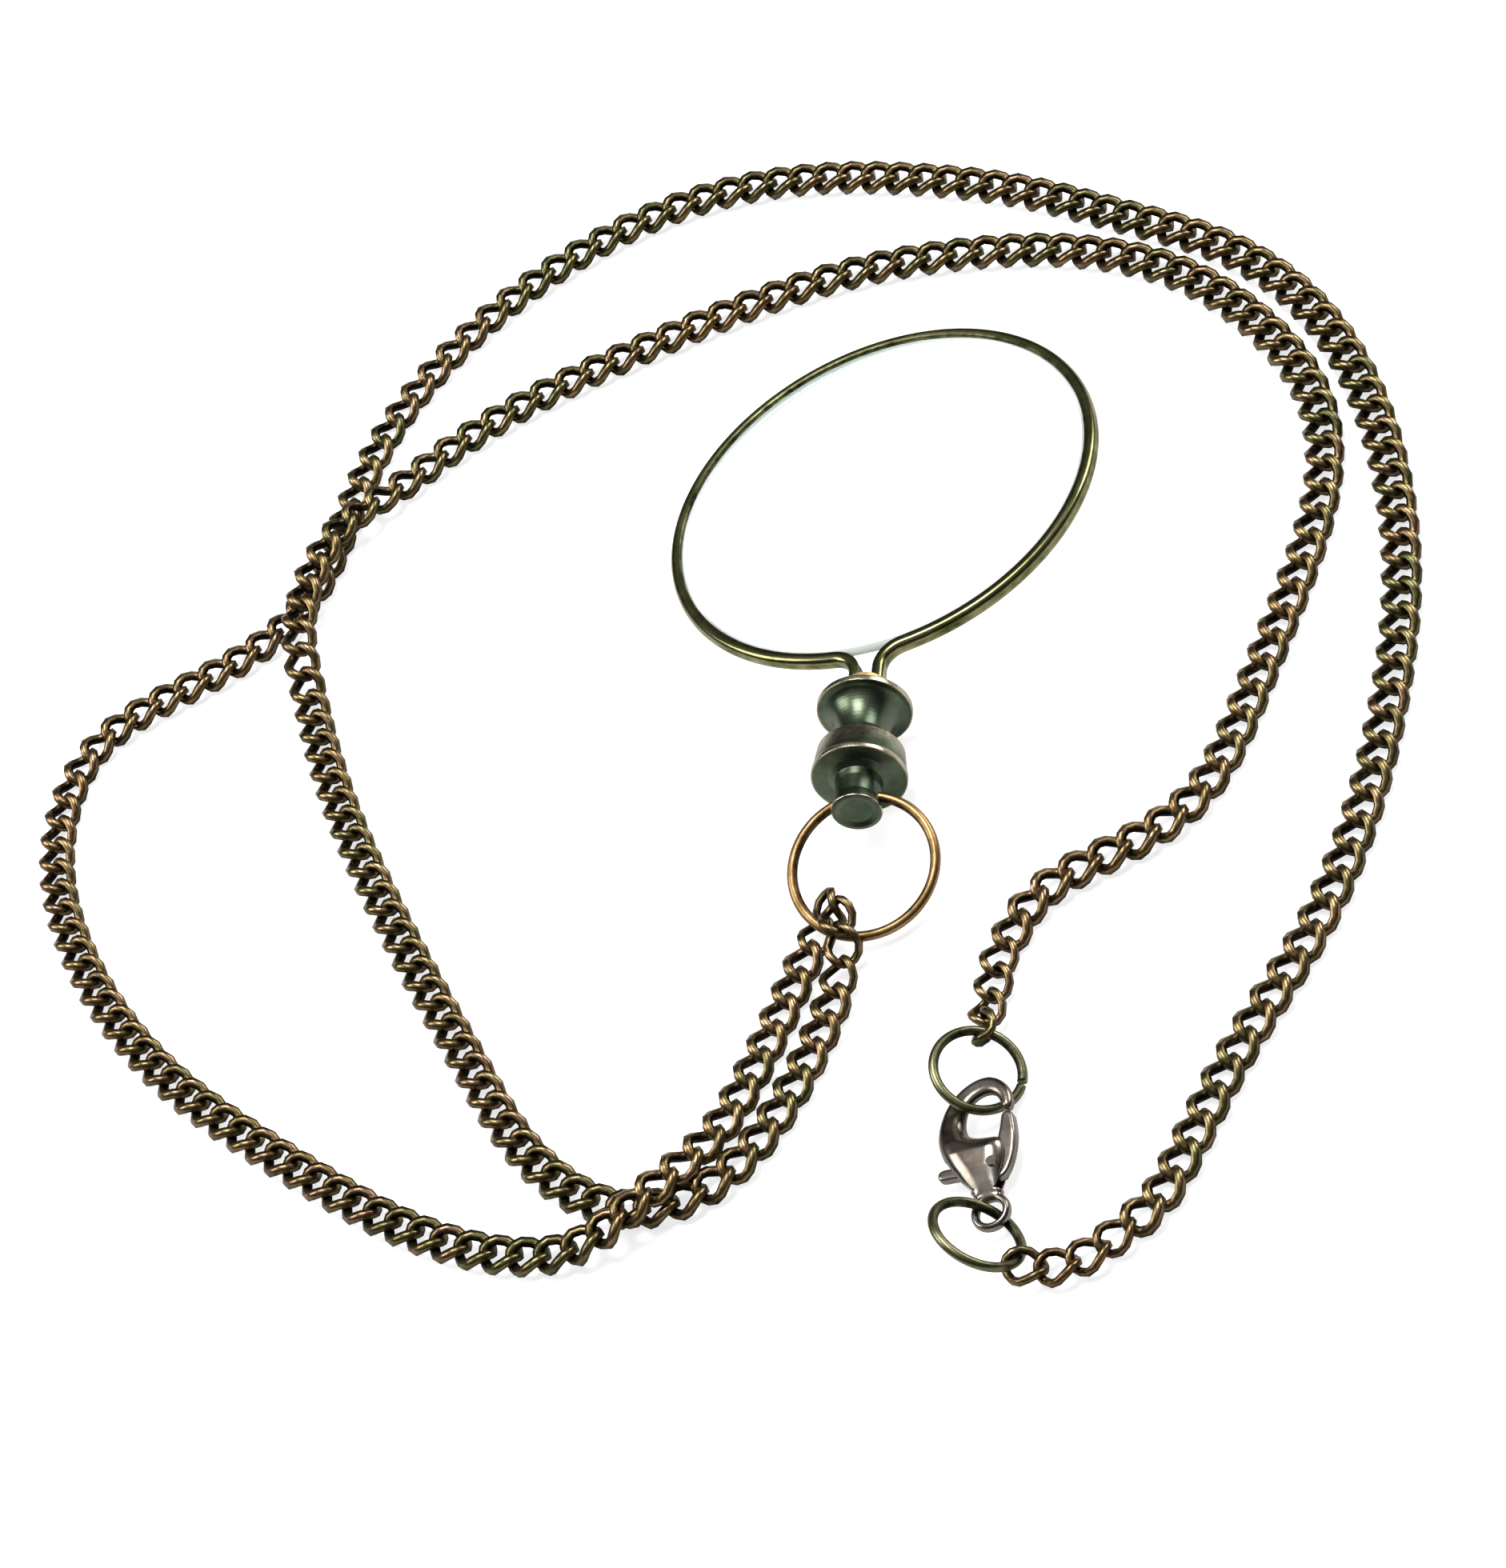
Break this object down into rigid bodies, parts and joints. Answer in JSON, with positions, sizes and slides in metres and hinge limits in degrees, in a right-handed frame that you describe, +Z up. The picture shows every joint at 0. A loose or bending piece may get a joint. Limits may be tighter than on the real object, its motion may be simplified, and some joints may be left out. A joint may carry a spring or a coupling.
{
  "type": "monocle",
  "caption": "Single round eyeglass in a wire rim with a turned stem, on a long curb-link neck chain that closes with a lobster clasp.",
  "frame": {"origin": "on the table under the middle of the whole object's box", "axes": "+Z up from the table, +Y from the stem towards the lens, +X to the lens's right seen from above"},
  "size_m": [0.12, 0.1214, 0.008],
  "materials": {
    "eyewire_brass": "aged satin",
    "lens_glass": "polished",
    "collar_brass": "bright satin",
    "spool_metal": "dark satin",
    "bail_brass": "aged satin",
    "ring_brass": "aged satin",
    "chain_brass": "antique, polished on the high spots",
    "clasp_steel": "aged satin",
    "spring_steel": "plain"
  },
  "bodies": {
    "chain": {"chain_inner_01": "chain_brass", "chain_inner_02": "chain_brass", "chain_inner_03": "chain_brass", "chain_inner_04": "chain_brass", "chain_inner_05": "chain_brass", "chain_inner_06": "chain_brass", "chain_inner_07": "chain_brass", "chain_inner_08": "chain_brass", "chain_outer_01": "chain_brass", "chain_outer_02": "chain_brass", "chain_outer_03": "chain_brass", "chain_outer_04": "chain_brass", "chain_outer_05": "chain_brass", "chain_outer_06": "chain_brass", "chain_outer_07": "chain_brass", "chain_outer_08": "chain_brass", "chain_outer_09": "chain_brass", "chain_outer_10": "chain_brass", "hitch_links": "chain_brass", "end_links_outer": "chain_brass", "end_links_inner": "chain_brass"},
    "bail_ring": {"bail_ring": "bail_brass"},
    "monocle": {"eyewire": "eyewire_brass", "lens": "lens_glass", "stem_collar": "collar_brass", "upper_spool": "spool_metal", "lower_spool": "spool_metal"},
    "lower_ring": {"lower_ring": "ring_brass"},
    "upper_ring": {"upper_ring": "ring_brass"},
    "clasp": {"clasp_body": "clasp_steel", "clasp_pin": "clasp_steel", "clasp_spring": "spring_steel"},
    "clasp_lever": {"clasp_lever": "clasp_steel"}
  },
  "joints": [
    {"name": "bail_swing", "type": "hinge", "parent": "chain", "child": "bail_ring", "pos_m": [0.0132, -0.02573, 0.00178], "axis": [0.8348, -0.4994, -0.2318], "range_deg": [0, 45]},
    {"name": "monocle_swing", "type": "hinge", "parent": "bail_ring", "child": "monocle", "pos_m": [0.01625, -0.01574, 0.00443], "axis": [1, 0, 0], "range_deg": [0, 130]},
    {"name": "lower_ring_turn", "type": "hinge", "parent": "chain", "child": "lower_ring", "pos_m": [0.02604, -0.05638, 0.00284], "axis": [0.6616, 0.3013, 0.6867], "range_deg": [-60, 60]},
    {"name": "upper_ring_turn", "type": "hinge", "parent": "chain", "child": "upper_ring", "pos_m": [0.02562, -0.04183, 0.00226], "axis": [0.5529, -0.0801, 0.8294], "range_deg": [-60, 60]},
    {"name": "clasp_roll", "type": "hinge", "parent": "chain", "child": "clasp", "pos_m": [0.02645, -0.05368, 0.00128], "axis": [-0.0027, 0.9986, 0.0523], "range_deg": [-25, 3]},
    {"name": "lever_open", "type": "hinge", "parent": "clasp", "child": "clasp_lever", "pos_m": [0.02694, -0.05013, 0.0015], "axis": [-0.0523, -0.0523, 0.9973], "range_deg": [0, 16], "stiffness_Nm_per_rad": 0.0004, "springref_deg": -20.05}
  ]
}
